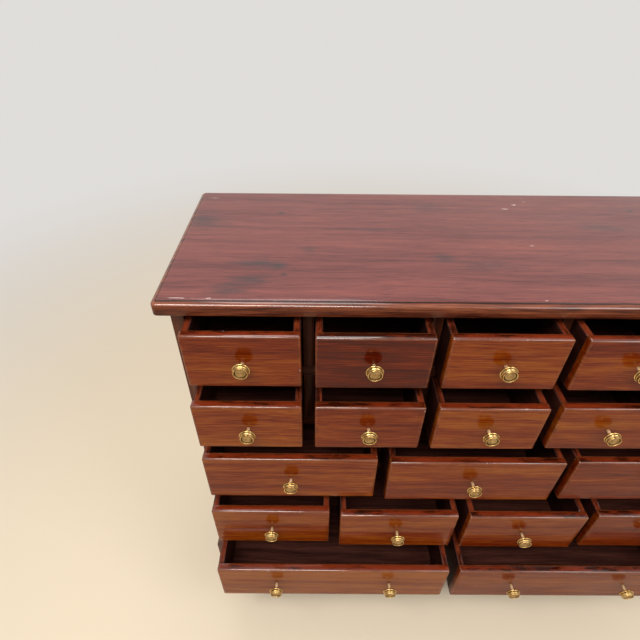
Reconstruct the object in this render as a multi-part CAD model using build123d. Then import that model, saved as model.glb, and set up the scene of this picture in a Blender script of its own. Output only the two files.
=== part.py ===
from build123d import *
import os

# Chest of small drawers in five rows, standing on bracket feet.
# X runs from left to right, the drawers open towards -Y, Z is up. All sizes are in mm.

# ---- Carcass ----
carcass_width = 1064.0
carcass_depth = 386.0
side_thickness = 21.0
divider_thickness = 18.0
shelf_thickness = 22.0
bottom_thickness = 22.0
back_thickness = 8.0
back_rebate = 10.0          # how far the back panel reaches into each side
side_housing = 6.0          # how far shelves and rails are let into the sides
divider_housing = 4.0       # how far dividers are let into the boards above and below
rail_thickness = 11.0
rail_width = 60.0

# ---- Top board ----
top_thickness = 25.0
top_overhang = 20.0         # at the front and at both sides; the back edge is flush
top_corner_radius = 9.0
moulding_width = 13.0       # from the edge to the raised flat of the top
moulding_step = 2.0         # height of the raised flat over the rounded moulding
moulding_round = 4.5        # height of the rounded part
top_edge_ease = 1.5

# ---- Base ----
foot_height = 128.0
bracket_thickness = 20.0
bracket_toe = 62.0          # width of a foot at the floor
bracket_rise = 20.0         # straight part of the foot above the floor
arch_width = 70.0
arch_height = 88.0
bracket_tip = 8.0           # flat end of the bracket beyond its arch
glue_block_size = 40.0
glue_block_lift = 2.0       # the block stops short of the floor
base_frame_width = 70.0
base_frame_thickness = 22.0
cove_radius = 12.0
cove_quirk = 1.0            # small step at each end of the cove

# ---- Drawers ----
# Front height, and how far each drawer stands out at rest, from left to right.
rows = [
    {"front_height": 109.5, "knobs": 1, "pulls": [50, 52, 52, 54, 51]},
    {"front_height": 109.5, "knobs": 1, "pulls": [71, 71, 72, 70, 73]},
    {"front_height": 124.5, "knobs": 1, "pulls": [79, 84, 81]},
    {"front_height": 124.5, "knobs": 1, "pulls": [98, 105, 107, 103]},
    {"front_height": 124.5, "knobs": 2, "pulls": [148, 148]},
]
drawer_length = 360.0
front_thickness = 16.0
front_edge_radius = 2.0
drawer_side_thickness = 12.0
drawer_back_thickness = 12.0
drawer_bottom_thickness = 6.0
side_gap = 2.0              # between a drawer and the board beside it
top_gap = 4.0               # above the front
front_lift = 1.5            # below the front
runner_gap = 0.3            # below the drawer sides, which slide on the board
side_drop = 2.5             # top of the sides below the top of the front
back_drop = 6.0             # top of the drawer's back below its sides
side_lap = 10.0             # how far the sides are let into the front
back_inset = 10.0           # from the rear end of the sides to the drawer's back
back_housing = 4.0
bottom_groove = 5.0
bottom_rise = 10.0          # from the lower edge of the sides to the bottom panel

# ---- Drawer stops ----
stop_length = 30.0
stop_depth = 25.0
stop_height = 6.0
stop_gap = 0.3              # between a stop and the closed drawer's front
stop_margin = 8.0           # beside the drawer side

# ---- Knobs, turned, measured from the face of the drawer ----
knob_length = 25.0
collar_radius = 5.5
collar_length = 2.0
stem_radius = 3.2
stem_length = 13.0
flange_radius = 14.5
flange_length = 3.0
ring_radius = 12.0
ring_wall = 1.6
dish_depth = 2.6
boss_radius = 7.5
boss_height = 1.6
knob_spacing = 249.0        # between the two knobs of a wide drawer

# ---- Screws ----
knob_screw_radius = 2.0
knob_screw_grip = 9.0       # length inside the knob
knob_screw_head_radius = 3.8
knob_screw_head_height = 2.4
wood_screw_radius = 2.0
wood_screw_head_radius = 4.0
wood_screw_head_height = 2.5
wood_screw_length = 26.0
screw_clearance = 0.15
slot_width = 1.0
slot_depth = 0.8

# ---- Levels and planes worked out from the sizes above ----
inner_width = carcass_width - 2 * side_thickness
inner_depth = carcass_depth - back_thickness
carcass_bottom = foot_height + base_frame_thickness
top_width = carcass_width + 2 * top_overhang
top_depth = carcass_depth + top_overhang
bracket_length = bracket_toe + arch_width + bracket_tip

# The origin is on the floor, under the middle of the chest's box with the drawers at rest.
reach = max(max(row["pulls"]) for row in rows) + knob_length
front_y = -(carcass_depth - reach) / 2
back_y = front_y + carcass_depth
edge_y = front_y - top_overhang
middle_y = (edge_y + back_y) / 2


def block(x0, x1, y0, y1, z0, z1):
    """Rectangular block between two corners."""
    return Pos((x0 + x1) / 2, (y0 + y1) / 2, (z0 + z1) / 2) * Box(x1 - x0, y1 - y0, z1 - z0)


def opening_heights():
    return [front_lift + row["front_height"] + top_gap for row in rows]


def opening_floors():
    """Level under each row of drawers, the top row first."""
    floors = []
    level = carcass_bottom + bottom_thickness
    for height in reversed(opening_heights()):
        floors.append(level)
        level += height + shelf_thickness
    return floors[::-1]


heights = opening_heights()
floors = opening_floors()
rail_level = floors[0] + heights[0]
carcass_top = rail_level + rail_thickness
chest_height = carcass_top + top_thickness


def column_width(count):
    return (inner_width - (count - 1) * divider_thickness) / count


def column_centres(count):
    pitch = column_width(count) + divider_thickness
    return [pitch * (column - (count - 1) / 2) for column in range(count)]


def divider_centres(count):
    centres = column_centres(count)
    return [(left + right) / 2 for left, right in zip(centres, centres[1:])]


# ---------------------------------------------------------------- carcass

def wide_board(level, thickness):
    """Full-depth board across the carcass, let into both sides."""
    half = inner_width / 2 + side_housing
    return block(-half, half, front_y, front_y + inner_depth, level, level + thickness)


def rail(y0):
    half = inner_width / 2 + side_housing
    return block(-half, half, y0, y0 + rail_width, rail_level, carcass_top)


def row_dividers(row):
    low = floors[row] - divider_housing
    high = floors[row] + heights[row] + divider_housing
    half = divider_thickness / 2
    return [block(x - half, x + half, front_y, front_y + inner_depth, low, high)
            for x in divider_centres(len(rows[row]["pulls"]))]


def side_panel(hand):
    outer = hand * carcass_width / 2
    inner = hand * inner_width / 2
    return block(min(outer, inner), max(outer, inner), front_y, back_y, carcass_bottom, carcass_top)


def back_panel():
    half = inner_width / 2 + back_rebate
    return block(-half, half, back_y - back_thickness, back_y, carcass_bottom, carcass_top)


# ---------------------------------------------------------------- top board

def moulded_section(half_span):
    """Section of the top board across its width, with the moulding at both edges."""
    step_x = half_span - moulding_width
    round_low = chest_height - moulding_step - moulding_round
    under = chest_height - top_thickness
    edge = [
        Line((half_span - top_edge_ease, under), (half_span, under + top_edge_ease)),
        Line((half_span, under + top_edge_ease), (half_span, round_low)),
        EllipticalCenterArc((step_x, round_low), moulding_width, moulding_round, 0, arc_size=90),
        Line((step_x, round_low + moulding_round), (step_x, chest_height)),
    ]
    flat = Line((step_x, chest_height), (-step_x, chest_height))
    other_edge = [line.mirror(Plane.YZ) for line in reversed(edge)]
    underside = Line((-half_span + top_edge_ease, under), (half_span - top_edge_ease, under))
    return make_face(Curve() + [*edge, flat, *other_edge, underside])


def top_board():
    """Moulded along all four edges, with the moulding mitred and the corners rounded."""
    centre = (0, middle_y, 0)
    across = Plane(centre, x_dir=(1, 0, 0), z_dir=(0, -1, 0)) * moulded_section(top_width / 2)
    along = Plane(centre, x_dir=(0, -1, 0), z_dir=(-1, 0, 0)) * moulded_section(top_depth / 2)
    board = extrude(across, top_depth / 2, both=True) & extrude(along, top_width / 2, both=True)
    outline = RectangleRounded(top_width, top_depth, top_corner_radius)
    return board & extrude(Pos(0, middle_y, carcass_top) * outline, top_thickness)


# ---------------------------------------------------------------- base

def mitred_plan(length, width, low, high):
    """Board along X from a corner at the origin, with its near end cut to a mitre."""
    outline = Polyline((0, 0), (length, 0), (length, width), (width, width), close=True)
    return Pos(0, 0, low) * extrude(make_face(outline), high - low)


def bracket_elevation():
    """Outline of a foot bracket: straight toe, arched sweep and a flat tip."""
    arch_x = bracket_toe + arch_width
    arch_top = bracket_rise + arch_height
    outline = [
        Line((0, 0), (bracket_toe, 0)),
        Line((bracket_toe, 0), (bracket_toe, bracket_rise)),
        EllipticalCenterArc((arch_x, bracket_rise), arch_width, arch_height, 90, arc_size=90),
        Line((arch_x, arch_top), (bracket_length, arch_top)),
        Line((bracket_length, arch_top), (bracket_length, foot_height)),
        Line((bracket_length, foot_height), (0, foot_height)),
        Line((0, foot_height), (0, 0)),
    ]
    return make_face(Curve() + outline)


def corner_foot():
    """Front left foot with its outer corner at the origin: two mitred brackets and a glue block."""
    board = extrude(Plane.XZ * bracket_elevation(), -bracket_thickness)
    front_bracket = board & mitred_plan(bracket_length, bracket_thickness, 0, foot_height)
    side_bracket = front_bracket.mirror(Plane((0, 0, 0), z_dir=(1, -1, 0)))
    inside = bracket_thickness
    far = inside + glue_block_size
    return [front_bracket, side_bracket, block(inside, far, inside, far, glue_block_lift, foot_height)]


def feet():
    """The four feet, by name. The chest's plan is symmetric about x = 0 and about middle_y."""
    front_left = [Pos(-top_width / 2, edge_y, 0) * piece for piece in corner_foot()]
    back_left = [piece.mirror(Plane((0, middle_y, 0), z_dir=(0, 1, 0))) for piece in front_left]
    return {
        "foot_front_left": front_left,
        "foot_front_right": [piece.mirror(Plane.YZ) for piece in front_left],
        "foot_back_left": back_left,
        "foot_back_right": [piece.mirror(Plane.YZ) for piece in back_left],
    }


def frame_section():
    """Section of the base frame with its outer edge at x = 0: upright lip, then a cove."""
    cove_top = base_frame_thickness - cove_quirk
    lip = cove_top - cove_radius
    cove_end = cove_quirk + cove_radius
    outline = [
        Line((0, 0), (0, lip)),
        Line((0, lip), (cove_quirk, lip)),
        CenterArc((cove_quirk, cove_top), cove_radius, 270, 90),
        Line((cove_end, cove_top), (cove_end, base_frame_thickness)),
        Line((cove_end, base_frame_thickness), (base_frame_width, base_frame_thickness)),
        Line((base_frame_width, base_frame_thickness), (base_frame_width, 0)),
        Line((base_frame_width, 0), (0, 0)),
    ]
    return make_face(Curve() + outline)


def base_frame():
    """Flat frame under the carcass: front and sides with a coved edge, mitred at the front."""
    section = Plane((0, 0, 0), x_dir=(0, 1, 0), z_dir=(1, 0, 0)) * frame_section()
    bar = extrude(section, top_width)
    near = mitred_plan(top_width / 2, base_frame_width, 0, base_frame_thickness)
    far = Pos(top_width, 0, 0) * near.mirror(Plane.YZ)
    front = Pos(-top_width / 2, edge_y, foot_height) * (bar & (near + far))
    side_bar = bar & mitred_plan(top_depth, base_frame_width, 0, base_frame_thickness)
    left = Pos(-top_width / 2, edge_y, foot_height) * side_bar.mirror(Plane((0, 0, 0), z_dir=(1, -1, 0)))
    right = left.mirror(Plane.YZ)
    half = top_width / 2 - base_frame_width
    back = block(-half, half, back_y - base_frame_width, back_y, foot_height, carcass_bottom)
    return [front, left, right, back]


# ---------------------------------------------------------------- screws and stops

def wood_screw(clearance=0.0):
    """Countersunk screw along +Z, its head's face at z = 0; with a clearance, its hole."""
    radius = wood_screw_radius + clearance
    head = wood_screw_head_radius + clearance
    length = wood_screw_length + clearance
    profile = Polyline((0, 0), (head, 0), (radius, wood_screw_head_height), (radius, length),
                       (0, length), close=True)
    screw = revolve(Plane.XZ * make_face(profile), Axis.Z)
    if clearance:
        return screw
    slot = block(-head, head, -slot_width / 2, slot_width / 2, 0, slot_depth)
    return screw - slot


def wood_screw_places():
    """Up through both rails into the top board, and forwards through the back panel."""
    columns = column_centres(len(rows[0]["pulls"]))
    rail_middles = [front_y + rail_width / 2, front_y + inner_depth - rail_width / 2]
    up = [Pos(x, y, rail_level) for x in columns for y in rail_middles]
    board_levels = [carcass_bottom + bottom_thickness / 2]
    board_levels += [floor - shelf_thickness / 2 for floor in floors[:-1]]
    board_levels.append((rail_level + carcass_top) / 2)
    forwards = [(x, level) for x in columns for level in board_levels]
    edge_x = (inner_width + back_rebate) / 2
    forwards += [(x, floor + height / 2) for x in (-edge_x, edge_x) for floor, height in zip(floors, heights)]
    return up + [Pos(x, back_y, z) * Rot(90, 0, 0) for x, z in forwards]


def drawer_stops():
    """Two blocks for each drawer, glued behind the place of its closed front."""
    stops = []
    y0 = front_y + front_thickness + stop_gap
    for row, floor in zip(rows, floors):
        count = len(row["pulls"])
        half = column_width(count) / 2 - side_gap - drawer_side_thickness - stop_margin
        for x in column_centres(count):
            for x0 in (x - half, x + half - stop_length):
                stops.append(block(x0, x0 + stop_length, y0, y0 + stop_depth, floor, floor + stop_height))
    return stops


# ---------------------------------------------------------------- drawers

def knob_places(row, column):
    """Where the knobs' axes meet the face of a drawer's front, at rest."""
    count = len(rows[row]["pulls"])
    x = column_centres(count)[column]
    face = front_y - rows[row]["pulls"][column]
    z = floors[row] + front_lift + rows[row]["front_height"] / 2
    if rows[row]["knobs"] == 1:
        return [(x, face, z)]
    return [(x - knob_spacing / 2, face, z), (x + knob_spacing / 2, face, z)]


def drawer(row, column):
    """Front, two sides, back and bottom of one drawer, standing out as far as at rest."""
    count = len(rows[row]["pulls"])
    x = column_centres(count)[column]
    face = front_y - rows[row]["pulls"][column]
    half = column_width(count) / 2 - side_gap
    inner = half - drawer_side_thickness
    low = floors[row] + runner_gap
    front_low = floors[row] + front_lift
    front_high = front_low + rows[row]["front_height"]
    side_high = front_high - side_drop
    rear = face + drawer_length
    back_face = rear - back_inset
    panel_low = low + bottom_rise
    panel_high = panel_low + drawer_bottom_thickness

    reach_in = inner + bottom_groove
    panel_front = face + front_thickness - bottom_groove
    panel = block(x - reach_in, x + reach_in, panel_front, back_face, panel_low, panel_high)
    reach_in = inner + back_housing
    back = block(x - reach_in, x + reach_in, back_face - drawer_back_thickness, back_face,
                 panel_high, side_high - back_drop)
    side_front = face + front_thickness - side_lap
    left = block(x - half, x - inner, side_front, rear, low, side_high) - panel - back
    right = block(x + inner, x + half, side_front, rear, low, side_high) - panel - back
    front = block(x - half, x + half, face, face + front_thickness, front_low, front_high)
    front = fillet(front.faces().sort_by(Axis.Y)[0].edges(), front_edge_radius)
    front = front - left - right - panel
    for place in knob_places(row, column):
        hole = Cylinder(knob_screw_radius + screw_clearance, 3 * front_thickness)
        front -= Pos(*place) * Rot(90, 0, 0) * hole
    return [front, left, right, back, panel]


def knob():
    """Turned knob along +Z from the drawer's face: collar, stem, flange and a dished ring."""
    neck = stem_length + collar_length
    flange_top = neck + flange_length
    dish = knob_length - dish_depth
    boss = dish + boss_height
    inside = ring_radius - ring_wall
    outline = [
        Polyline((0, 0), (collar_radius, 0), (collar_radius, collar_length), (stem_radius, collar_length),
                 (stem_radius, stem_length)),
        ThreePointArc((stem_radius, stem_length), (stem_radius + 3, neck - 0.6), (ring_radius, neck)),
        Line((ring_radius, neck), (flange_radius - 1, neck)),
        ThreePointArc((flange_radius - 1, neck), (flange_radius, neck + flange_length / 2),
                      (flange_radius - 1, flange_top)),
        Polyline((flange_radius - 1, flange_top), (ring_radius, flange_top), (ring_radius, knob_length - 0.8)),
        ThreePointArc((ring_radius, knob_length - 0.8), (ring_radius - 0.4, knob_length - 0.2),
                      (ring_radius - 0.8, knob_length)),
        Polyline((ring_radius - 0.8, knob_length), (inside, knob_length - 0.5), (inside, dish),
                 (boss_radius, dish)),
        TangentArc((0, boss), (boss_radius, dish), tangent=(1, 0)),
        Line((0, boss), (0, 0)),
    ]
    body = revolve(Plane.XZ * make_face(Curve() + outline), Axis.Z)
    bore_length = knob_screw_grip + screw_clearance
    bore = Cylinder(knob_screw_radius + screw_clearance, bore_length, align=(Align.CENTER, Align.CENTER, Align.MIN))
    return body - bore


def knob_screw():
    """Machine screw along +Z from inside the drawer, through the front and into the knob."""
    base = (Align.CENTER, Align.CENTER, Align.MIN)
    head = Pos(0, 0, -front_thickness - knob_screw_head_height)
    head = head * Cylinder(knob_screw_head_radius, knob_screw_head_height, align=base)
    shank = Pos(0, 0, -front_thickness)
    shank = shank * Cylinder(knob_screw_radius, front_thickness + knob_screw_grip, align=base)
    return head + shank


# ---------------------------------------------------------------- assembly

def assemble():
    """Every node's solids, by name."""
    nodes = {"top_board": [top_board()], "side_left": [side_panel(-1)], "side_right": [side_panel(1)]}
    nodes["back_panel"] = [back_panel()]
    nodes["top_rails"] = [rail(front_y), rail(front_y + inner_depth - rail_width)]
    for row, floor in enumerate(floors[:-1]):
        nodes[f"shelf_{row + 1}"] = [wide_board(floor - shelf_thickness, shelf_thickness)]
    nodes["bottom_board"] = [wide_board(carcass_bottom, bottom_thickness)]
    for row in range(len(rows)):
        nodes[f"dividers_row_{row + 1}"] = row_dividers(row)

    boards = [f"shelf_{row + 1}" for row in range(len(rows) - 1)] + ["bottom_board", "top_rails"]
    for name in boards:
        for row in range(len(rows)):
            for divider in nodes[f"dividers_row_{row + 1}"]:
                nodes[name] = [board - divider for board in nodes[name]]
    for name in ("side_left", "side_right"):
        for mate in boards + ["back_panel"]:
            for board in nodes[mate]:
                nodes[name] = [side - board for side in nodes[name]]

    places = wood_screw_places()
    hole = wood_screw(screw_clearance)
    for name in boards + ["top_board", "back_panel", "side_left", "side_right"]:
        nodes[name] = [cut_holes(board, places, hole) for board in nodes[name]]
    nodes["wood_screws"] = [place * wood_screw() for place in places]
    nodes["drawer_stops"] = drawer_stops()
    nodes["base_frame"] = base_frame()
    nodes.update(feet())

    for row, details in enumerate(rows):
        for column in range(len(details["pulls"])):
            name = f"{row + 1}_{column + 1}"
            turned = [Pos(*place) * Rot(90, 0, 0) for place in knob_places(row, column)]
            nodes[f"drawer_{name}"] = drawer(row, column)
            nodes[f"knob_{name}"] = [place * piece for place in turned for piece in (knob(), knob_screw())]
    return nodes


def cut_holes(board, places, hole):
    """Cuts the screw holes that reach into a board."""
    box = board.bounding_box()
    for place in places:
        cutter = place * hole
        other = cutter.bounding_box()
        if all(a0 < b1 and b0 < a1 for a0, a1, b0, b1 in zip(box.min, box.max, other.min, other.max)):
            board = board - cutter
    return board


def write_parts(nodes):
    os.makedirs("parts", exist_ok=True)
    for name, pieces in nodes.items():
        solids = [solid for piece in pieces for solid in piece.solids()]
        export_step(Compound(label=name, children=solids), f"parts/{name}.step")
        print(name, len(solids))


write_parts(assemble())
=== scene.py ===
import math
import random

import bmesh
import bpy
from mathutils import Matrix, Vector


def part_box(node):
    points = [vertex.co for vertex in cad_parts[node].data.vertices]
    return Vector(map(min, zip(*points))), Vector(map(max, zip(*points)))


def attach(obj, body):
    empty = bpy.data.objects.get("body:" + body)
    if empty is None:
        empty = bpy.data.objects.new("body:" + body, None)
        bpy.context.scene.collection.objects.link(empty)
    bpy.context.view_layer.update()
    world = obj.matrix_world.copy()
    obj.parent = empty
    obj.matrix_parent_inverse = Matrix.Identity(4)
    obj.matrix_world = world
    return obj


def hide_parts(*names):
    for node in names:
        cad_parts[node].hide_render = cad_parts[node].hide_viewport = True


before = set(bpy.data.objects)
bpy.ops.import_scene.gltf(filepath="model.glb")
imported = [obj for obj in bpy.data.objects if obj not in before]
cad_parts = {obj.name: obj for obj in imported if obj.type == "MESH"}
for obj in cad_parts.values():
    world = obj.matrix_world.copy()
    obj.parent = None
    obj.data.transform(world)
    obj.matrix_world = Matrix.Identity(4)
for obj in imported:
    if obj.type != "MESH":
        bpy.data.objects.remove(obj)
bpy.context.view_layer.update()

# Lengths are in metres. The drawers open towards -Y.
MM = 0.001
random.seed(19)

# ---- Camera, at the photograph's viewing angle ----
CAMERA_PLACE = Vector((-0.29515, -0.67517, 1.33333))
CAMERA_DOWN = math.radians(39.203)
CAMERA_YAW = math.radians(0.155)
CAMERA_ROLL = math.radians(-0.532)
CAMERA_LENS = 25.818
SENSOR_WIDTH = 36.0

# ---- Edges of the boards ----
SHARP_EDGE = 0.8 * MM
SOFT_EDGE = 2.8 * MM
BOX_EDGE = 1.2 * MM
FRAME_EDGE = 0.5 * MM
WORN_BAND = 5 * MM           # width beside an edge over which its wear fades
FLAT_FROM = 2.5              # a face this many bands wide keeps an unworn middle

# ---- Top board ----
TOP_CORNER = 9 * MM
MOULDING_WIDTH = 9 * MM
MOULDING_STEP = 2 * MM
MOULDING_ROUND = 4.5 * MM
STEP_EASE = 0.4 * MM
TOP_EDGE_EASE = 1.5 * MM
SMALLEST_CORNER = 0.5 * MM

# Wear, and painted shade (darker under the edge and in the crease of the step), at each point of its
# section, from the underside over the moulding to the flat.
MOULDING_WEAR = [0.6, 0.8, 0.7] + [0.5] * 7 + [0.3, 0.2, 0.95, 1.0, 0.9, 0.0]
MOULDING_PAINTED_SHADE = [0.3, 0.18, 0.12, 0.10] + [0.0] * 6 + [0.12, 0.9, 0.3, 0.0, 0.0, 0.0]
FLAT_STRIPS = 3              # strips of that section next to the flat, finished as the flat is

# ---- Carcass and base ----
BACK_THICKNESS = 8 * MM
BACK_REBATE = 10 * MM
SIDE_HOUSING = 6 * MM
DIVIDER_THICKNESS = 18 * MM
DIVIDER_HOUSING = 4 * MM
RAIL_WIDTH = 60 * MM
BRACKET_THICKNESS = 20 * MM
BRACKET_TOE = 62 * MM
BRACKET_RISE = 20 * MM
ARCH_WIDTH = 70 * MM
ARCH_HEIGHT = 88 * MM
GLUE_BLOCK = 40 * MM
GLUE_BLOCK_LIFT = 2 * MM
BASE_FRAME_WIDTH = 70 * MM
COVE_RADIUS = 12 * MM
COVE_QUIRK = 1 * MM

# ---- Drawers ----
DRAWER_COLUMNS = [5, 5, 3, 4, 2]
FRONT_THICKNESS = 16 * MM
DRAWER_SIDE = 12 * MM
DRAWER_SIDE_INSET = 0.3 * MM
DRAWER_BACK = 12 * MM
DRAWER_BOTTOM = 6 * MM
SIDE_DROP = 2.5 * MM
BACK_DROP = 6 * MM
FRONT_RAISE = 1.2 * MM       # lower edge of the front above that of the sides
SIDE_LAP = 10 * MM
BACK_INSET = 10 * MM
BOTTOM_RISE = 10 * MM
BOTTOM_GROOVE = 5 * MM
BACK_HOUSING = 4 * MM

# ---- Knobs, measured out from the face of the drawer ----
KNOB_LENGTH = 25 * MM
STEM_RADIUS = 2.8 * MM
STEM_END = 11.5 * MM         # where the stem begins to widen
NECK_RADIUS = 6.0 * MM
FLANGE_START = 15 * MM
FLANGE_RADIUS = 14.5 * MM
FLANGE_LENGTH = 3 * MM
FLANGE_ROUND = 1.2 * MM
SHOULDER_RADIUS = 12.9 * MM
SHOULDER_ROUND = (1.7 * MM, 1.4 * MM)
SHOULDER_RISE = 1.9 * MM
RING_RADIUS = 12 * MM
RING_START = 3.4 * MM        # from the flange
RING_WALL = 1.6 * MM
RING_ROUND = 0.8 * MM
RIM_ROUND = 0.4 * MM         # inner side of the ring
DISH_DEPTH = 2.6 * MM
BOSS_RADIUS = 8.5 * MM
BOSS_HEIGHT = 1.6 * MM
KNOB_SPACING = 249 * MM
SCREW_HEAD_RADIUS = 3.8 * MM
SCREW_HEAD_HEIGHT = 2.4 * MM
SCREW_HEAD_ROUND = 1.2 * MM
LATHE_STEPS = 56

# ---- Marks on the top: x and y from its middle, half length, half width, strength ----
TOP_SMUDGES = [
    (-0.522, 0.060, 0.042, 0.034, 0.50),
    (-0.400, -0.089, 0.034, 0.013, 0.62),
    (-0.362, -0.094, 0.016, 0.012, 0.55),
    (-0.440, -0.168, 0.034, 0.016, 0.50),
    (-0.405, -0.140, 0.034, 0.014, 0.55),
    (-0.314, -0.044, 0.014, 0.013, 0.35),
    (-0.353, -0.122, 0.007, 0.005, 0.70),
    (-0.373, 0.100, 0.006, 0.005, 0.70),
    (-0.196, 0.033, 0.050, 0.006, 0.45),
    (-0.080, -0.068, 0.020, 0.014, 0.45),
    (-0.010, -0.092, 0.060, 0.016, 0.34),
    (-0.074, 0.132, 0.030, 0.020, 0.32),
    (0.250, 0.050, 0.050, 0.018, 0.40),
    (0.420, -0.090, 0.036, 0.016, 0.50),
    (0.340, 0.120, 0.007, 0.005, 0.65),
]
TOP_CHIPS = [
    (-0.515, -0.1895, 0.032, 0.0016, 1.0),
    (-0.463, -0.1895, 0.011, 0.0024, 1.0),
    (-0.238, -0.1985, 0.006, 0.0018, 0.8),
    (-0.129, -0.1980, 0.008, 0.0018, 0.8),
    (0.052, -0.1895, 0.012, 0.0024, 1.0),
    (0.086, 0.126, 0.011, 0.0042, 0.9),
    (0.110, 0.146, 0.009, 0.0070, 0.9),
    (0.137, 0.160, 0.007, 0.0030, 0.6),
    (0.088, -0.024, 0.009, 0.0045, 0.7),
    (-0.520, 0.168, 0.016, 0.0050, 0.5),
    (0.330, -0.1890, 0.012, 0.0020, 0.8),
    (0.400, 0.100, 0.009, 0.0040, 0.6),
    (0.500, -0.1890, 0.022, 0.0018, 0.9),
]

# ---- Colours of wear, and of the knobs' painted shade and tarnish ----
SMUDGE_COLOUR = (0.038, 0.029, 0.031)
CHIP_COLOUR = (0.56, 0.42, 0.38)
# painted shade, with some tarnish, in the knobs' grooves and recess, behind the flange and on the boss
BRASS_SHADE_AND_TARNISH_COLOUR = (0.075, 0.038, 0.012)

# How much lighter than the rest a drawer's front is.
FRONT_TONES = {(1, 1): 0.02, (1, 2): -0.26, (1, 3): 0.05, (2, 1): 0.14, (2, 2): -0.09, (2, 3): 0.12,
               (3, 1): 0.07, (3, 2): 0.04, (4, 1): 0.12, (4, 2): 0.07, (5, 1): 0.20}


# ---------------------------------------------------------------- finishes

class Value:
    """Wraps a shader socket, so that sums can be written with it."""

    def __init__(self, finish, socket):
        self.finish = finish
        self.socket = socket

    def sum(self, operation, first, second):
        return self.finish.node("Math", {"operation": operation}, {0: first, 1: second})

    def __add__(self, other):
        return self.sum("ADD", self, other)

    def __sub__(self, other):
        return self.sum("SUBTRACT", self, other)

    def __rsub__(self, other):
        return self.sum("SUBTRACT", other, self)

    def __mul__(self, other):
        return self.sum("MULTIPLY", self, other)

    __radd__ = __add__
    __rmul__ = __mul__


class Finish:
    """A material, built up from its nodes."""

    def __init__(self, name, tree=None):
        if tree is None:
            self.material = bpy.data.materials.new(name)
            self.material.use_nodes = True
            tree = self.material.node_tree
        self.tree = tree

    def node(self, kind, settings=None, values=None, output=0):
        """Adds a node: its settings first, then the values or links of its sockets."""
        made = self.tree.nodes.new("ShaderNode" + kind)
        for name, setting in (settings or {}).items():
            if name == "stops":
                while len(made.color_ramp.elements) < len(setting):
                    made.color_ramp.elements.new(0.5)
                for element, (place, colour) in zip(made.color_ramp.elements, setting):
                    element.position = place
                    element.color = (*colour, 1.0)
            else:
                setattr(made, name, setting)
        self.fill(made, values or {})
        return Value(self, made.outputs[output])

    def fill(self, node, values):
        for key, value in values.items():
            if isinstance(value, Value):
                self.tree.links.new(value.socket, node.inputs[key])
            elif isinstance(value, tuple) and len(node.inputs[key].default_value) > len(value):
                node.inputs[key].default_value = (*value, 1.0)
            else:
                node.inputs[key].default_value = value

    def stretch(self, place, x, y, z):
        return self.node("VectorMath", {"operation": "MULTIPLY"}, {0: place, 1: (x, y, z)})

    def noise(self, place, detail=3.0, roughness=0.5, scale=1.0):
        return self.node("TexNoise", None, {"Vector": place, "Scale": scale, "Detail": detail,
                                            "Roughness": roughness})

    def span(self, value, low, high, to_low=0.0, to_high=1.0):
        """Follows value from low to high smoothly, and holds still outside."""
        return self.node("MapRange", {"interpolation_type": "SMOOTHSTEP"},
                         {"Value": value, "From Min": low, "From Max": high, "To Min": to_low,
                          "To Max": to_high})

    def ramp(self, value, *stops):
        return self.node("ValToRGB", {"stops": stops}, {"Fac": value})

    def mix(self, share, first, second):
        """Colour that is the first where share is 0 and the second where it is 1."""
        return self.node("Mix", {"data_type": "RGBA"}, {0: share, 6: first, 7: second}, output=2)

    def distance(self, place, x, y, half_length, half_width):
        """Distance from a mark's middle, 1 at its rim."""
        offset = self.node("VectorMath", {"operation": "SUBTRACT"}, {0: place, 1: (x, y, 0.0)})
        return self.node("VectorMath", {"operation": "LENGTH"},
                         {0: self.stretch(offset, 1 / half_length, 1 / half_width, 0.0)}, output=1)

    def surface(self, relief, depth, values):
        """Sets the shader's sockets, with a bump of the given depth, and gives the material."""
        normal = self.node("Bump", None, {"Height": relief, "Distance": depth, "Strength": 1.0})
        self.fill(self.tree.nodes["Principled BSDF"], {**values, "Normal": normal})
        return self.material


def tinted(colour, share, lift=0.0):
    """Colour made darker or lighter by a share, and lifted towards white."""
    return tuple(share * part + lift for part in colour)


def follow_grain(finish, grain):
    """Place along a grain that sways a little from straight."""
    sway = finish.noise(finish.stretch(grain, 2.4, 9, 9), detail=2.0) - 0.5
    drift = finish.node("CombineXYZ", None, {"Y": sway * 0.026, "Z": sway * 0.022})
    return finish.node("VectorMath", {"operation": "ADD"}, {0: grain, 1: drift})


def growth_rings(finish, line):
    return finish.node("TexWave", {"wave_type": "BANDS", "bands_direction": "DIAGONAL"},
                       {"Vector": finish.stretch(line, 0.03, 1, 1), "Scale": 22.0, "Distortion": 5.0,
                        "Detail": 2.0, "Detail Scale": 1.2})


def smudged(finish, colour, grain, line):
    """Colour with the dark smudges of the top on it."""
    ragged = finish.noise(finish.stretch(line, 20, 95, 22), detail=5.0, roughness=0.6)
    for x, y, half_length, half_width, strength in TOP_SMUDGES:
        far = finish.distance(grain, x, y, half_length, half_width)
        shade = finish.span(far + ragged * 3.0, 1.3, 3.1, min(0.95, 1.35 * strength), 0.0)
        colour = finish.mix(shade, colour, SMUDGE_COLOUR)
    return colour


def flaked(finish, chips, grain):
    """Chips along the edges, with those of the top added."""
    flakes = finish.noise(finish.stretch(grain, 160, 330, 160), detail=3.0)
    for x, y, half_length, half_width, strength in TOP_CHIPS:
        far = finish.distance(grain, x, y, half_length, half_width)
        chips = chips + finish.span(far + flakes * 2.6, 1.45, 1.95, strength * 0.8, 0.0)
    return chips


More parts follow.
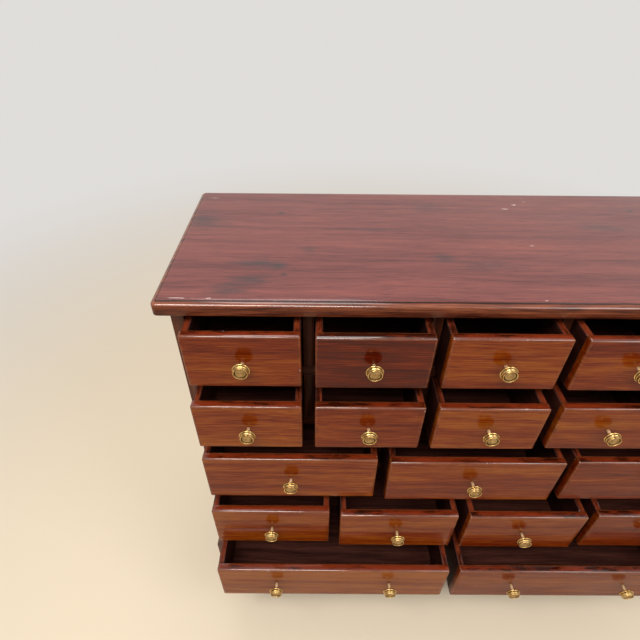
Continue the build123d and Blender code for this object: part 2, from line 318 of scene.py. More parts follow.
def stained_wood(name, dark, middle, light, gloss=0.5, gloss_at_edges=0.0, coat_index=1.5, roughness=0.34,
                 specular=0.08, contrast=0.85, stripes=1.0, wear=0.4, top_light_colour=None, marked=False,
                 own_grain=True):
    """Red-brown stained and varnished hardwood with streaks, pores and rubbed edges.

    stripes shares the figure between broad streaks and fine lines, a colour for what faces up paints the
    light falling on those faces, and marked adds the smudges and chips of the top.
    """
    finish = Finish(name)
    if own_grain:
        grain = finish.node("Attribute", {"attribute_name": "grain"}, output="Vector")
        tone = finish.node("Attribute", {"attribute_name": "tone"}, output="Fac")
        edge = finish.node("Attribute", {"attribute_name": "edge"}, output="Fac")
    else:
        grain = finish.node("TexCoord", output="Object")
        tone = edge = 0.0

    # Figure of the wood, and its open pores.
    line = follow_grain(finish, grain)
    bands = finish.noise(finish.stretch(line, 1.3, 20, 20), detail=3.0, roughness=0.55)
    streaks = finish.noise(finish.stretch(line, 4.5, 120, 120), detail=4.0, roughness=0.6)
    fine_lines = finish.noise(finish.stretch(line, 14, 430, 430), detail=3.0, roughness=0.65)
    rings = growth_rings(finish, line)
    figure = bands * 1.1 + streaks * stripes + fine_lines * (2.0 - stripes) + rings * 0.14
    # tone holds a board's own tone, less any painted shade it carries
    figure = (figure - 1.62) * contrast + tone + 0.5
    darkest = tinted(dark, 0.4)
    colour = finish.ramp(figure, (0.02, darkest), (0.25, dark), (0.50, middle), (0.80, light))
    pores = finish.span(finish.noise(finish.stretch(line, 24, 1000, 1000), detail=1.0), 0.58, 0.70)
    colour = finish.mix(pores * 0.5, colour, darkest)

    # Painted light: what faces up gets a lit colour of its own. Then the smudges of the top.
    blotch = finish.noise(finish.stretch(grain, 17, 60, 60), detail=4.0, roughness=0.65)
    up = finish.node("SeparateXYZ", None, {0: finish.node("TexCoord", output="Normal")}, output="Z")
    # painted light on what faces up, mixed in by the normal's z
    if top_light_colour:
        painted_top_light = finish.ramp(blotch + streaks * 0.5 + tone * 0.5 - 0.25,
                            (0.40, tinted(top_light_colour, 0.20)), (0.52, top_light_colour), (0.66, tinted(top_light_colour, 1.35)))
        colour = finish.mix(finish.span(up, 0.45, 0.9), colour, painted_top_light)
    if marked:
        colour = smudged(finish, colour, grain, line)

    # Grime beside the edges, rubbed edges, and chips down to the bare wood.
    grime = finish.span(edge * 0.45 + blotch * 1.1, 0.82, 1.15)
    colour = finish.mix(grime * 0.55, colour, tinted(dark, 0.3))
    relief = fine_lines * 0.30 - pores * 0.45 + streaks * 0.15
    if wear:
        rub = finish.noise(finish.stretch(grain, 45, 90, 90), detail=4.0, roughness=0.65)
        rubbed = finish.span(edge + rub * 0.8, 1.15, 1.50) * wear
        colour = finish.mix(rubbed, colour, tinted(light, 1.25, 0.03))
        nicks = finish.noise(finish.stretch(grain, 70, 150, 150), detail=3.0)
        chips = finish.span(edge * 0.5 + nicks, 1.175, 1.21) * min(1.0, 1.6 * wear)
        if marked:
            chips = flaked(finish, chips, grain)
        colour = finish.mix(finish.span(chips, 0.0, 1.0), colour, CHIP_COLOUR)
        relief = relief - chips * 1.3

    # Varnish, thicker where it ran over the upper edges.
    coat = gloss
    if gloss_at_edges:
        coat = finish.span(edge, 0.2, 0.6) * finish.span(up, 0.02, 0.4) * gloss_at_edges + gloss
    smear = finish.noise(finish.stretch(grain, 6, 18, 18), detail=4.0, roughness=0.6)
    return finish.surface(relief + smear * 0.5, 0.00012, {
        "Base Color": colour,
        "Roughness": finish.span(smear, 0.3, 0.7, roughness - 0.06, roughness + 0.10),
        "Coat Weight": coat, "Coat Roughness": 0.08, "Coat IOR": coat_index,
        "Specular IOR Level": specular})


def polished_brass():
    """Lacquered brass, brown with painted shade and some tarnish where lathe marks it in the edge
    attribute: in the grooves, the recess, the back of the flange and on the boss.
    """
    finish = Finish("knob_brass")
    place = finish.node("TexCoord", output="Object")
    shade_and_tarnish = finish.node("Attribute", {"attribute_name": "edge"}, output="Fac")
    tarnish = finish.noise(place, detail=4.0, scale=170.0)
    colour = finish.ramp(tarnish, (0.36, (0.42, 0.24, 0.075)), (0.60, (0.78, 0.53, 0.21)))
    # painted shade, with some tarnish: brown where lathe marked it
    colour = finish.mix(shade_and_tarnish * 0.92, colour, BRASS_SHADE_AND_TARNISH_COLOUR)
    return finish.surface(finish.noise(place, detail=2.0, scale=900.0), 0.00003, {
        "Base Color": colour, "Metallic": 1.0 - shade_and_tarnish * 0.45,
        "Roughness": finish.span(tarnish, 0.3, 0.7, 0.14, 0.26) + shade_and_tarnish * 0.9})


def satin_brass():
    """Brass of the stems, dulled by handling."""
    finish = Finish("stem_brass")
    place = finish.node("TexCoord", output="Object")
    dull = finish.noise(place, detail=4.0, scale=260.0)
    return finish.surface(finish.noise(place, detail=2.0, scale=900.0), 0.00003, {
        "Base Color": finish.ramp(dull, (0.35, (0.60, 0.40, 0.19)), (0.62, (0.82, 0.60, 0.34))),
        "Metallic": 0.3, "Roughness": finish.span(dull, 0.3, 0.7, 0.28, 0.42)})


def dull_steel():
    finish = Finish("screw_steel")
    place = finish.node("TexCoord", output="Object")
    dull = finish.noise(place, detail=4.0, scale=400.0)
    return finish.surface(dull, 0.00005, {
        "Base Color": finish.ramp(dull, (0.35, (0.20, 0.17, 0.14)), (0.65, (0.48, 0.45, 0.40))),
        "Metallic": 0.9, "Roughness": finish.span(dull, 0.3, 0.7, 0.35, 0.6)})


def make_materials():
    return {
        "top": stained_wood("top_wood", (0.092, 0.026, 0.024), (0.163, 0.045, 0.040), (0.238, 0.067, 0.050),
                            gloss=0.72, contrast=0.62, stripes=0.85, wear=0.22, marked=True),
        "moulding": stained_wood("moulding_wood", (0.055, 0.012, 0.006), (0.160, 0.038, 0.014),
                                 (0.270, 0.080, 0.030), gloss=0.16, gloss_at_edges=0.80, coat_index=1.7,
                                 contrast=0.9, stripes=0.8, wear=0.25),
        "front": stained_wood("front_wood", (0.084, 0.006, 0.0003), (0.156, 0.0195, 0.0008),
                              (0.255, 0.064, 0.004), gloss=0.26, gloss_at_edges=0.74, coat_index=1.7,
                              specular=0.05, contrast=0.76, stripes=0.6, wear=0.24,
                              top_light_colour=(0.132, 0.017, 0.004)),
        "carcass": stained_wood("carcass_wood", (0.040, 0.008, 0.003), (0.090, 0.020, 0.007),
                                (0.165, 0.045, 0.017), gloss=0.4, gloss_at_edges=0.4, wear=0.30),
        # Shelves, rails and dividers: painted shade, the carcass wood made darker as it looks inside the
        # carcass.
        "shelf": stained_wood("shelf_wood_painted_dark", (0.018, 0.004, 0.002), (0.044, 0.010, 0.004),
                              (0.080, 0.020, 0.008), gloss=0.06, roughness=0.5, specular=0.05, wear=0.15),
        # Drawer boxes: painted shade, their wood made near black as it looks in the dark inside the chest;
        # what faces up gets its lit colour as painted light.
        "inside": stained_wood("inner_wood", (0.012, 0.004, 0.003), (0.026, 0.007, 0.005),
                               (0.055, 0.015, 0.008), gloss=0.08, gloss_at_edges=0.5, roughness=0.42,
                               wear=0.25, top_light_colour=(0.150, 0.024, 0.007)),
        "bottom": stained_wood("drawer_bottom_wood", (0.024, 0.007, 0.005), (0.052, 0.015, 0.010),
                               (0.095, 0.030, 0.020), gloss=0.05, roughness=0.5, wear=0.0),
        "back": stained_wood("back_wood", (0.075, 0.026, 0.013), (0.150, 0.056, 0.028),
                             (0.230, 0.100, 0.052), gloss=0.1, roughness=0.55, wear=0.2),
        "stop": stained_wood("stop_wood", (0.08, 0.03, 0.015), (0.16, 0.06, 0.03), (0.22, 0.10, 0.05),
                             gloss=0.0, roughness=0.6, wear=0.0, own_grain=False),
        "brass": polished_brass(),
        "stem": satin_brass(),
        "screw": dull_steel(),
    }


# ---------------------------------------------------------------- pieces

class Piece:
    """One visible object, joined from boards that each have a grain, a tone and worn edges."""

    def __init__(self, name, *materials):
        self.name = name
        self.materials = materials
        self.mesh = bmesh.new()
        self.grain = self.mesh.verts.layers.float_vector.new("grain")
        self.tone = self.mesh.verts.layers.float.new("tone")
        self.edge = self.mesh.verts.layers.float.new("edge")

    def add(self, board, along="x", material=0, tone=None, centre=None):
        """Adds a finished board. Its grain runs along an axis, from a place of its own in the tree.

        A board with marks at fixed places has its grain measured from centre instead.
        """
        order = {"x": (0, 1, 2), "y": (1, 0, 2), "z": (2, 0, 1)}[along]
        start = Vector(random.uniform(3, 40) for _ in range(3)) if centre is None else Vector((0, 0, 0))
        middle = centre or Vector((0, 0, 0))
        tone = random.uniform(-0.055, 0.055) if tone is None else tone
        edges = board.verts.layers.float["edge"]
        painted_shades = board.verts.layers.float.get("shade")
        made = {}
        for vert in board.verts:
            copy = self.mesh.verts.new(vert.co)
            here = vert.co - middle
            copy[self.grain] = Vector(here[axis] for axis in order) + start
            # tone, less the painted shade of a board that has one
            copy[self.tone] = tone - (vert[painted_shades] if painted_shades else 0.0)
            copy[self.edge] = vert[edges]
            made[vert] = copy
        for face in board.faces:
            copy = self.mesh.faces.new([made[vert] for vert in face.verts])
            copy.smooth = face.smooth
            copy.material_index = material + face.material_index
        board.free()

    def finish(self, body, slot, *nodes):
        mesh = bpy.data.meshes.new(self.name)
        self.mesh.to_mesh(mesh)
        self.mesh.free()
        for material in self.materials:
            mesh.materials.append(material)
        made = bpy.data.objects.new(self.name, mesh)
        bpy.context.scene.collection.objects.link(made)
        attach(made, body)
        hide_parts(*nodes)
        return made


def prism(outline, low, high, skew=None):
    """Closed solid over an outline of (x, y) points. skew moves a top point, given the bottom one."""
    solid = bmesh.new()
    solid.verts.layers.float.new("edge")
    under = [solid.verts.new((x, y, low)) for x, y in outline]
    tops = [skew(x, y) if skew else (x, y) for x, y in outline]
    over = [solid.verts.new((x, y, high)) for x, y in tops]
    solid.faces.new(list(reversed(under)))
    solid.faces.new(over)
    count = len(outline)
    for i in range(count):
        j = (i + 1) % count
        solid.faces.new((under[i], under[j], over[j], over[i]))
    bmesh.ops.recalc_face_normals(solid, faces=solid.faces)
    return solid


def eased(solid, radius=SHARP_EDGE, band=WORN_BAND, sharp=math.radians(30), segments=2):
    """Rounds a solid's sharp edges and marks how near each point is to one."""
    edges = solid.verts.layers.float["edge"]
    corners = [edge for edge in solid.edges
               if len(edge.link_faces) == 2 and edge.calc_face_angle(0) > sharp]
    bmesh.ops.bevel(solid, geom=corners, offset=radius, segments=segments, profile=0.5, affect="EDGES",
                    clamp_overlap=True)
    for vert in solid.verts:
        vert[edges] = 1.0
    wide = FLAT_FROM * band
    flats = [face for face in solid.faces if face.calc_area() > wide ** 2 and is_wide(face, wide)]
    bmesh.ops.inset_individual(solid, faces=flats, thickness=band, use_even_offset=True)
    for face in flats:
        for vert in face.verts:
            vert[edges] = 0.0
    for face in solid.faces:
        face.smooth = True
    return solid


def is_wide(face, width):
    """True if a face is wider than width in both directions."""
    area, rim = face.calc_area(), face.calc_perimeter()
    return 2 * area / rim > width / 2


def board_block(low, high):
    """Plain board between two corners, before its edges are eased."""
    outline = [(low[0], low[1]), (high[0], low[1]), (high[0], high[1]), (low[0], high[1])]
    return prism(outline, low[2], high[2])


def stand_up(solid, matrix):
    bmesh.ops.transform(solid, matrix=matrix, verts=solid.verts)
    if matrix.determinant() < 0:
        bmesh.ops.reverse_faces(solid, faces=solid.faces)
    return solid


def lathe(profile, place):
    """Turned solid along -Y from place. profile has (radius, distance, painted shade and tarnish) from axis
    to axis.
    """
    solid = bmesh.new()
    shades_and_tarnish = solid.verts.layers.float.new("edge")
    rings = []
    for radius, along, shade_and_tarnish in profile:
        ring = []
        for step in range(LATHE_STEPS if radius > 0 else 1):
            turn = 2 * math.pi * step / LATHE_STEPS
            out = Vector((radius * math.cos(turn), -along, radius * math.sin(turn)))
            vert = solid.verts.new(place + out)
            vert[shades_and_tarnish] = shade_and_tarnish
            ring.append(vert)
        rings.append(ring)
    for near, far in zip(rings, rings[1:]):
        for step in range(LATHE_STEPS):
            after = (step + 1) % LATHE_STEPS
            corners = [near[step % len(near)], near[after % len(near)]]
            corners += [far[after % len(far)], far[step % len(far)]]
            corners = list(dict.fromkeys(corners))
            if len(corners) > 2:
                solid.faces.new(corners)
    bmesh.ops.recalc_face_normals(solid, faces=solid.faces)
    for face in solid.faces:
        face.smooth = True
    for edge in solid.edges:
        edge.smooth = edge.calc_face_angle(0) < math.radians(35)
    return solid


def arc(centre, radius_x, radius_y, start, end, steps):
    """Points of an elliptic arc, angles in degrees."""
    turns = [math.radians(start + (end - start) * i / steps) for i in range(steps + 1)]
    return [(centre[0] + radius_x * math.cos(a), centre[1] + radius_y * math.sin(a)) for a in turns]


# ---------------------------------------------------------------- carcass

def shelf_board(name, node, material):
    """Board across the carcass, seen as far as the sides that it is let into."""
    low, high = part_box(node)
    board = board_block((low.x + SIDE_HOUSING, low.y, low.z), (high.x - SIDE_HOUSING, high.y, high.z))
    piece = Piece(name, material)
    piece.add(eased(board), "x")
    return piece.finish("cabinet", "carcass_wood", node)


def side_board(name, node, inward, material):
    """Side with a rebate along its rear inner edge. inward is 1 for the left side."""
    low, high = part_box(node)
    outer, inner = (low.x, high.x) if inward > 0 else (high.x, low.x)
    rebate_x, rebate_y = inner - inward * BACK_REBATE, high.y - BACK_THICKNESS
    outline = [(outer, low.y), (inner, low.y), (inner, rebate_y), (rebate_x, rebate_y)]
    outline += [(rebate_x, high.y), (outer, high.y)]
    piece = Piece(name, material)
    piece.add(eased(prism(outline, low.z, high.z)), "z")
    return piece.finish("cabinet", "carcass_wood", node)


def rear_panel(material):
    low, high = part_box("back_panel")
    piece = Piece("rear_panel", material)
    piece.add(eased(board_block(low, high)), "x")
    return piece.finish("cabinet", "back_wood", "back_panel")


def moulding_section(under, top):
    """Section of the top's edge as (distance in from the edge, height), from its underside to its flat."""
    round_low = top - MOULDING_STEP - MOULDING_ROUND
    section = [(TOP_EDGE_EASE, under), (TOP_EDGE_EASE * 0.3, under + TOP_EDGE_EASE * 0.3),
               (0.0, under + TOP_EDGE_EASE)]
    section += [(MOULDING_WIDTH - x, z) for x, z in
                arc((0.0, round_low), MOULDING_WIDTH, MOULDING_ROUND, 0, 90, 8)]
    section += [(MOULDING_WIDTH, top - STEP_EASE),
                (MOULDING_WIDTH + STEP_EASE * 0.3, top - STEP_EASE * 0.3),
                (MOULDING_WIDTH + STEP_EASE, top),
                (MOULDING_WIDTH + WORN_BAND, top)]
    return section


def top_board(flat, moulding):
    """Outline with rounded corners, carried up the moulded edge."""
    low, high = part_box("top_board")
    solid = bmesh.new()
    edges = solid.verts.layers.float.new("edge")
    # a layer of painted shade: darker under the edge and in the crease of the step
    painted_shades = solid.verts.layers.float.new("shade")
    loops = []
    for (inset, z), wear, shade in zip(moulding_section(low.z, high.z), MOULDING_WEAR, MOULDING_PAINTED_SHADE):
        loop = [solid.verts.new((x, y, z)) for x, y in top_outline(low, high, inset)]
        for vert in loop:
            vert[edges] = wear
            vert[painted_shades] = shade
        loops.append(loop)
    count = len(loops[0])
    moulded = len(loops) - 1 - FLAT_STRIPS
    for index, (lower, upper) in enumerate(zip(loops, loops[1:])):
        for i in range(count):
            j = (i + 1) % count
            face = solid.faces.new((lower[i], lower[j], upper[j], upper[i]))
            face.material_index = 1 if index < moulded else 0
    solid.faces.new(loops[-1])
    solid.faces.new(list(reversed(loops[0])))
    bmesh.ops.recalc_face_normals(solid, faces=solid.faces)
    for face in solid.faces:
        face.smooth = len(face.verts) < 5
    for edge in solid.edges:
        edge.smooth = edge.calc_face_angle(0) < math.radians(40)

    piece = Piece("top_board_moulded", flat, moulding)
    middle = Vector(((low.x + high.x) / 2, (low.y + high.y) / 2, high.z))
    piece.add(solid, "x", tone=0.0, centre=middle)
    return piece.finish("cabinet", "carcass_wood", "top_board")


def top_outline(low, high, inset):
    """Plan of the top board at a distance in from its edges."""
    radius = max(TOP_CORNER - inset, SMALLEST_CORNER)
    left, right = low.x + inset + radius, high.x - inset - radius
    front, back = low.y + inset + radius, high.y - inset - radius
    corners = ((left, front, 180), (right, front, 270), (right, back, 0), (left, back, 90))
    return [point for x, y, turn in corners for point in arc((x, y), radius, radius, turn, turn + 90, 6)]


def divider_boards(row, count, material):
    low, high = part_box(f"dividers_row_{row}")
    pitch = (high.x - low.x - DIVIDER_THICKNESS) / (count - 2) if count > 2 else 0.0
    piece = Piece(f"divider_boards_row_{row}", material)
    for index in range(count - 1):
        x = low.x + index * pitch
        board = board_block((x, low.y, low.z + DIVIDER_HOUSING),
                            (x + DIVIDER_THICKNESS, high.y, high.z - DIVIDER_HOUSING))
        piece.add(eased(board), "z")
    return piece.finish("cabinet", "carcass_wood", f"dividers_row_{row}")


def rails(material):
    low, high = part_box("top_rails")
    piece = Piece("rails_under_top", material)
    for y in (low.y, high.y - RAIL_WIDTH):
        board = board_block((low.x + SIDE_HOUSING, y, low.z),
                            (high.x - SIDE_HOUSING, y + RAIL_WIDTH, high.z))
        piece.add(eased(board), "x")
    return piece.finish("cabinet", "carcass_wood", "top_rails")


# ---------------------------------------------------------------- base

SWAP_X_Y = Matrix(((0, 1, 0, 0), (1, 0, 0, 0), (0, 0, 1, 0), (0, 0, 0, 1)))


def frame_bar(section, start, end, mitre_start, mitre_end):
    """Bar along X with a (y, z) section; a mitred end recedes by its distance in from the edge."""
    solid = bmesh.new()
    solid.verts.layers.float.new("edge")
    near = [solid.verts.new((start + (y if mitre_start else 0.0), y, z)) for y, z in section]
    far = [solid.verts.new((end - (y if mitre_end else 0.0), y, z)) for y, z in section]
    solid.faces.new(near)
    solid.faces.new(list(reversed(far)))
    count = len(section)
    for i in range(count):
        j = (i + 1) % count
        solid.faces.new((near[i], near[j], far[j], far[i]))
    bmesh.ops.recalc_face_normals(solid, faces=solid.faces)
    return solid


def base_frame(material):
    low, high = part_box("base_frame")
    thick = high.z - low.z
    cove_top = thick - COVE_QUIRK
    section = [(0.0, 0.0), (0.0, cove_top - COVE_RADIUS)]
    section += arc((COVE_QUIRK, cove_top), COVE_RADIUS, COVE_RADIUS, 270, 360, 8)
    section += [(COVE_QUIRK + COVE_RADIUS, thick), (BASE_FRAME_WIDTH, thick), (BASE_FRAME_WIDTH, 0.0)]
    wide, deep = high.x - low.x, high.y - low.y
    corner = Matrix.Translation((low.x, low.y, low.z))
    across = Matrix.Translation((low.x + high.x, 0, 0)) @ Matrix.Diagonal((-1, 1, 1, 1))

    piece = Piece("base_frame_moulded", material)
    piece.add(eased(stand_up(frame_bar(section, 0, wide, True, True), corner), FRAME_EDGE), "x")
    for turn in (corner @ SWAP_X_Y, across @ corner @ SWAP_X_Y):
        bar = frame_bar(section, 0, deep, True, False)
        piece.add(eased(stand_up(bar, turn), FRAME_EDGE), "y")
    inner = BASE_FRAME_WIDTH
    back = board_block((low.x + inner, high.y - inner, low.z), (high.x - inner, high.y, high.z))
    piece.add(eased(back), "x")
    return piece.finish("cabinet", "carcass_wood", "base_frame")


def bracket(height, length):
    """Mitred foot bracket along X from the origin, its face at y = 0."""
    arch_x = BRACKET_TOE + ARCH_WIDTH
    outline = [(0.0, 0.0), (BRACKET_TOE, 0.0)]
    outline += list(reversed(arc((arch_x, BRACKET_RISE), ARCH_WIDTH, ARCH_HEIGHT, 90, 180, 16)))
    outline += [(length, BRACKET_RISE + ARCH_HEIGHT), (length, height), (0.0, height)]
    solid = prism(outline, 0.0, -BRACKET_THICKNESS, skew=lambda x, y: (max(x, BRACKET_THICKNESS), y))
    return stand_up(solid, Matrix.Rotation(math.radians(90), 4, "X"))


def foot(node, right, back, material):
    """Two mitred brackets, and the block that is glued into their corner."""
    low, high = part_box(node)
    height, length = high.z - low.z, high.x - low.x
    place = Matrix.Translation((high.x if right else low.x, high.y if back else low.y, low.z))
    place = place @ Matrix.Diagonal((-1 if right else 1, -1 if back else 1, 1, 1))
    piece = Piece(node.replace("foot", "bracket_foot"), material)
    piece.add(eased(stand_up(bracket(height, length), place)), "x")
    piece.add(eased(stand_up(bracket(height, length), place @ SWAP_X_Y)), "y")
    inside = BRACKET_THICKNESS
    outside = inside + GLUE_BLOCK
    block = board_block((inside, inside, GLUE_BLOCK_LIFT), (outside, outside, height))
    piece.add(eased(stand_up(block, place)), "z")
    return piece.finish("cabinet", "carcass_wood", node)


# ---------------------------------------------------------------- drawers

def drawer(row, column, materials):
    """Front with rounded edges, and the box behind it."""
    node = f"drawer_{row}_{column}"
    body = node + "_body"
    low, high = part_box(node)
    side_high = high.z - SIDE_DROP
    front_low = low.z + FRONT_RAISE
    lap = low.y + FRONT_THICKNESS - SIDE_LAP

    front = Piece(f"front_{row}_{column}", materials["front"])
    board = board_block((low.x, low.y, front_low), (high.x, low.y + FRONT_THICKNESS, high.z))
    front.add(eased(board, SOFT_EDGE, segments=3), "x", tone=FRONT_TONES.get((row, column)))
    front.finish(body, "drawer_wood", node)

    box = Piece(f"box_{row}_{column}", materials["inside"], materials["bottom"])
    for x in (low.x + DRAWER_SIDE_INSET, high.x - DRAWER_SIDE - DRAWER_SIDE_INSET):
        side = board_block((x, lap, low.z), (x + DRAWER_SIDE, high.y, side_high))
        box.add(eased(side, BOX_EDGE), "y")
    inner = low.x + DRAWER_SIDE, high.x - DRAWER_SIDE
    back_y = high.y - BACK_INSET
    panel_low = low.z + BOTTOM_RISE
    panel_high = panel_low + DRAWER_BOTTOM
    back = board_block((inner[0] - BACK_HOUSING, back_y - DRAWER_BACK, panel_high),
                       (inner[1] + BACK_HOUSING, back_y, side_high - BACK_DROP))
    box.add(eased(back, BOX_EDGE), "x")
    panel = board_block((inner[0] - BOTTOM_GROOVE, low.y + FRONT_THICKNESS - BOTTOM_GROOVE, panel_low),
                        (inner[1] + BOTTOM_GROOVE, back_y, panel_high))
    box.add(eased(panel), "x", material=1)
    box.finish(body, "inner_wood", node)


def stem_profile():
    """Half section of a knob's stem as (radius, distance, painted shade and tarnish), from its base to its
    flared neck.
    """
    stem = [(0, 0), (STEM_RADIUS, 0), (STEM_RADIUS * 0.95, STEM_END * 0.5), (STEM_RADIUS, STEM_END)]
    neck = arc((NECK_RADIUS, STEM_END), STEM_RADIUS - NECK_RADIUS, FLANGE_START - STEM_END, 15, 80, 6)
    return [(radius, along, 0.0) for radius, along in stem + neck + [(0, FLANGE_START)]]


def knob_profile():
    """Half section of a knob's head as (radius, distance, painted shade and tarnish), from its flange to
    its boss.
    """
    flange_end = FLANGE_START + FLANGE_LENGTH
    flange_middle = FLANGE_START + FLANGE_LENGTH / 2
    dish = KNOB_LENGTH - DISH_DEPTH
    inside = RING_RADIUS - RING_WALL
    flange = arc((FLANGE_RADIUS - FLANGE_ROUND, flange_middle), FLANGE_ROUND, FLANGE_LENGTH / 2,
                 -90, 90, 10)
    groove = [(SHOULDER_RADIUS - 0.3 * MM, flange_end + 0.1 * MM),
              (SHOULDER_RADIUS - 0.8 * MM, flange_end + 0.5 * MM)]
    shoulder = arc((SHOULDER_RADIUS - SHOULDER_ROUND[0], flange_end + SHOULDER_RISE), *SHOULDER_ROUND,
                   -60, 50, 8)
    ring = arc((RING_RADIUS - RING_ROUND, KNOB_LENGTH - RING_ROUND), RING_ROUND, RING_ROUND, 0, 90, 5)
    rim = arc((inside + RIM_ROUND, KNOB_LENGTH - RIM_ROUND), RIM_ROUND, RIM_ROUND, 90, 180, 3)
    dished = [(inside, dish + 0.5 * MM), (inside - 0.4 * MM, dish), (BOSS_RADIUS + 0.2 * MM, dish)]
    crest = dish + BOSS_HEIGHT * 0.92
    # Painted shade, with some tarnish, darkens the back of the flange, the grooves, the ring's foot, the
    # recess and the boss.
    parts = [
        (0.6, [(0, FLANGE_START), (NECK_RADIUS + 2 * MM, FLANGE_START)]),
        (0.0, flange),
        (1.0, groove),
        (0.0, shoulder),
        (0.45, [(RING_RADIUS + 0.05 * MM, flange_end + RING_START)]),
        (0.0, ring + rim),
        (1.0, dished),
        (0.9, [(BOSS_RADIUS, dish + 0.6 * MM)]),
        (0.44, [(BOSS_RADIUS * 0.93, dish + BOSS_HEIGHT * 0.75), (BOSS_RADIUS * 0.70, crest)]),
        (0.8, [(BOSS_RADIUS * 0.62, dish + BOSS_HEIGHT * 0.80)]),
        (0.44, [(BOSS_RADIUS * 0.54, crest), (0, dish + BOSS_HEIGHT)]),
    ]
    return [(radius, along, shade_and_tarnish) for shade_and_tarnish, points in parts for radius, along in points]


def screw_head_profile():
    """Half section of a knob's screw head, inside the drawer, as (radius, distance, painted shade and
    tarnish).
    """
    inside = -FRONT_THICKNESS
    dome = arc((SCREW_HEAD_RADIUS - SCREW_HEAD_ROUND, inside - SCREW_HEAD_HEIGHT + SCREW_HEAD_ROUND),
               SCREW_HEAD_ROUND, SCREW_HEAD_ROUND, 0, -90, 4)
    head = [(0, inside), (SCREW_HEAD_RADIUS, inside), *dome, (0, inside - SCREW_HEAD_HEIGHT)]
    return [(radius, along, 0.0) for radius, along in head]


def knobs(row, column, materials):
    """The knob of a drawer, or the pair on a wide one, with the screws that hold them."""
    node = f"knob_{row}_{column}"
    low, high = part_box(node)
    drawer_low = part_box(f"drawer_{row}_{column}")[0]
    middle = Vector(((low.x + high.x) / 2, drawer_low.y, (low.z + high.z) / 2))
    pair = high.x - low.x > 2 * KNOB_LENGTH
    offsets = (-KNOB_SPACING / 2, KNOB_SPACING / 2) if pair else (0.0,)
    piece = Piece(f"turned_{node}", materials["brass"], materials["screw"], materials["stem"])
    for offset in offsets:
        place = middle + Vector((offset, 0, 0))
        piece.add(lathe(knob_profile(), place), "x")
        piece.add(lathe(stem_profile(), place), "x", material=2)
        piece.add(lathe(screw_head_profile(), place), "x", material=1)
    piece.finish(f"drawer_{row}_{column}_body", "knob_brass", node)


# ---------------------------------------------------------------- stage

SURROUNDINGS_COLOUR = (0.745, 0.725, 0.705)
FLOOR_COLOUR = (0.76, 0.65, 0.49)
FLOOR_REACH = 30.0
FADE_START, FADE_END = 0.9, 3.2
SOFT_LIGHT = 0.62            # strength of the surroundings as a light


def make_floor():
    """Pale floor that fades into the pale surroundings far from the chest."""
    floor = bmesh.new()
    corners = ((-1, -1), (1, -1), (1, 1), (-1, 1))
    floor.faces.new([floor.verts.new((x * FLOOR_REACH, y * FLOOR_REACH, 0.0)) for x, y in corners])
    mesh = bpy.data.meshes.new("floor")
    floor.to_mesh(mesh)
    floor.free()
    made = bpy.data.objects.new("floor", mesh)
    bpy.context.scene.collection.objects.link(made)

    finish = Finish("floor_paint")
    shader = finish.tree.nodes["Principled BSDF"]
    finish.fill(shader, {"Base Color": FLOOR_COLOUR, "Roughness": 0.7, "Specular IOR Level": 0.2})
    place = finish.node("TexCoord", output="Object")
    away = finish.node("VectorMath", {"operation": "LENGTH"}, {0: place}, output=1)
    seen = finish.node("LightPath", output="Is Camera Ray")
    glow = finish.node("Emission", None, {"Color": SURROUNDINGS_COLOUR, "Strength": 1.0})
    faded = finish.node("MixShader", None, {0: finish.span(away, FADE_START, FADE_END) * seen,
                                            1: Value(finish, shader.outputs[0]), 2: glow})
    finish.tree.links.new(faded.socket, finish.tree.nodes["Material Output"].inputs["Surface"])
    mesh.materials.append(finish.material)


def make_world():
    """Even soft light, and pale surroundings for the camera and for what is glossy."""
    world = bpy.data.worlds.new("pale_room")
    world.use_nodes = True
    finish = Finish("pale_room", world.node_tree)
    kinds = ("Is Camera Ray", "Is Glossy Ray", "Is Transmission Ray")
    camera, glossy, through = (finish.node("LightPath", output=kind) for kind in kinds)
    strength = finish.span(camera + glossy + through, 0.0, 1.0, SOFT_LIGHT, 1.0)
    finish.fill(world.node_tree.nodes["Background"], {"Color": SURROUNDINGS_COLOUR, "Strength": strength})
    bpy.context.scene.world = world


def make_lights():
    area_light("key", (-0.8, -1.3, 2.9), (0.0, -0.1, 0.5), (1.8, 0.6), 62, (1.0, 0.97, 0.94))
    area_light("fill", (1.5, -1.3, 2.5), (0.0, 0.0, 0.5), (1.3, 1.3), 22, (0.97, 0.98, 1.0))
    area_light("back", (-0.5, 1.5, 3.4), (0.0, 0.1, 0.4), (1.4, 1.4), 26, (1.0, 0.99, 0.98))


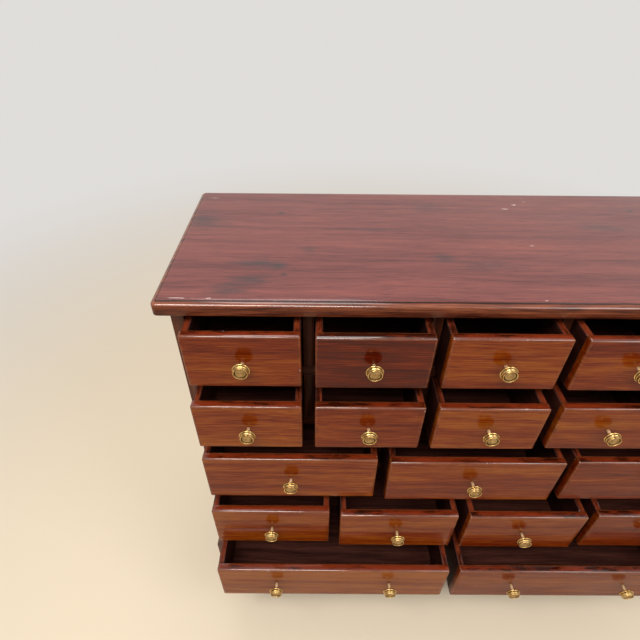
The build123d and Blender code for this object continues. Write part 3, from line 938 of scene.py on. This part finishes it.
def area_light(name, place, target, size, power, colour):
    data = bpy.data.lights.new(name, "AREA")
    data.shape = "RECTANGLE"
    data.size, data.size_y = size
    data.energy = power
    data.color = colour
    lamp = bpy.data.objects.new(name, data)
    lamp.location = place
    lamp.rotation_euler = (Vector(target) - Vector(place)).to_track_quat("-Z", "Y").to_euler()
    bpy.context.scene.collection.objects.link(lamp)


def make_camera():
    data = bpy.data.cameras.new("camera")
    data.lens = CAMERA_LENS
    data.sensor_width = SENSOR_WIDTH
    ahead = Vector((math.sin(CAMERA_YAW), math.cos(CAMERA_YAW), 0.0)) * math.cos(CAMERA_DOWN)
    ahead.z = -math.sin(CAMERA_DOWN)
    level = Vector((math.cos(CAMERA_YAW), -math.sin(CAMERA_YAW), 0.0))
    down = ahead.cross(level)
    right = math.cos(CAMERA_ROLL) * level + math.sin(CAMERA_ROLL) * down
    down = ahead.cross(right)
    turn = Matrix((right, -down, -ahead)).transposed().to_4x4()
    camera = bpy.data.objects.new("camera", data)
    camera.matrix_world = Matrix.Translation(CAMERA_PLACE) @ turn
    bpy.context.scene.collection.objects.link(camera)
    bpy.context.scene.camera = camera
    bpy.context.scene.view_settings.view_transform = "Standard"


# ---------------------------------------------------------------- assembly

make_camera()
materials = make_materials()
top_board(materials["top"], materials["moulding"])
side_board("left_side", "side_left", 1, materials["carcass"])
side_board("right_side", "side_right", -1, materials["carcass"])
rear_panel(materials["back"])
shelf_board("base_board", "bottom_board", materials["shelf"])
for number in range(1, len(DRAWER_COLUMNS)):
    shelf_board(f"shelf_board_{number}", f"shelf_{number}", materials["shelf"])
rails(materials["shelf"])
for number, columns in enumerate(DRAWER_COLUMNS, start=1):
    divider_boards(number, columns, materials["shelf"])
base_frame(materials["carcass"])
for name in ("foot_front_left", "foot_front_right", "foot_back_left", "foot_back_right"):
    foot(name, "right" in name, "back" in name, materials["carcass"])
for number, columns in enumerate(DRAWER_COLUMNS, start=1):
    for column in range(1, columns + 1):
        drawer(number, column, materials)
        knobs(number, column, materials)
for node, key in (("wood_screws", "screw"), ("drawer_stops", "stop")):
    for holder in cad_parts[node].material_slots:
        holder.material = materials[key]

make_floor()
make_world()
make_lights()
